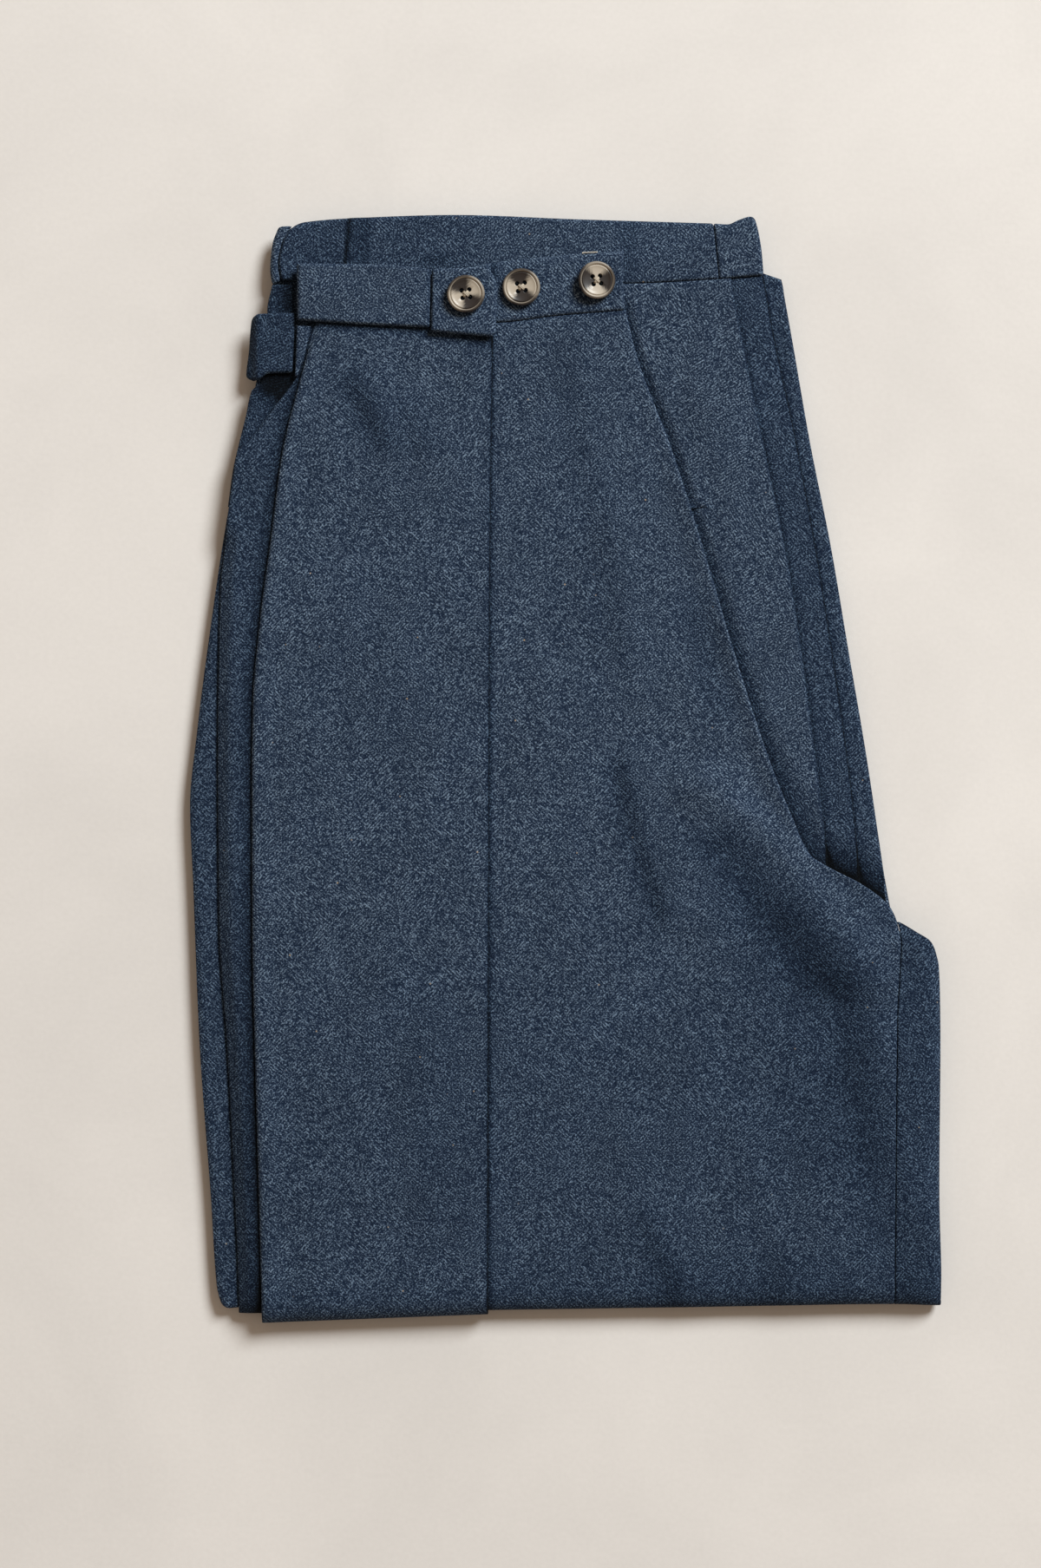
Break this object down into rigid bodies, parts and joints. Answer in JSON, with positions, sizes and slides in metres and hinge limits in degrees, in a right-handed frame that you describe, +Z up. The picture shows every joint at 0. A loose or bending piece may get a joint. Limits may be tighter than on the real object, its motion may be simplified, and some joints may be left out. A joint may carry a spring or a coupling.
{
  "type": "folded wide-leg wool trousers",
  "caption": "Wide-leg wool trousers with a wrapped, buttoned front, folded leg on leg and at the knee, lying flat.",
  "frame": {"origin": "middle of the folded garment's outline, on the surface that it lies on", "axes": "+Y from the knee fold to the waistband, +X across the waist towards the crotch edge, +Z up from the surface"},
  "size_m": [0.3614, 0.5327, 0.0196],
  "materials": {
    "wool": "woven, matt, slightly napped",
    "horn": "polished, mottled"
  },
  "bodies": {
    "root": {"folded_under_legs": "wool", "under_back_panel": "wool", "seat_back_panel": "wool", "inseam_back_panel": "wool", "pocket_facing": "wool", "front_panel": "wool", "wrap_panel": "wool", "back_waistband": "wool", "back_waistband_end": "wool", "side_waistband": "wool", "front_waistband": "wool", "wrap_waistband": "wool", "button_tab": "wool", "side_strap": "wool", "side_strap_base": "wool", "button_1": "horn", "button_2": "horn", "button_3": "horn"}
  },
  "joints": []
}
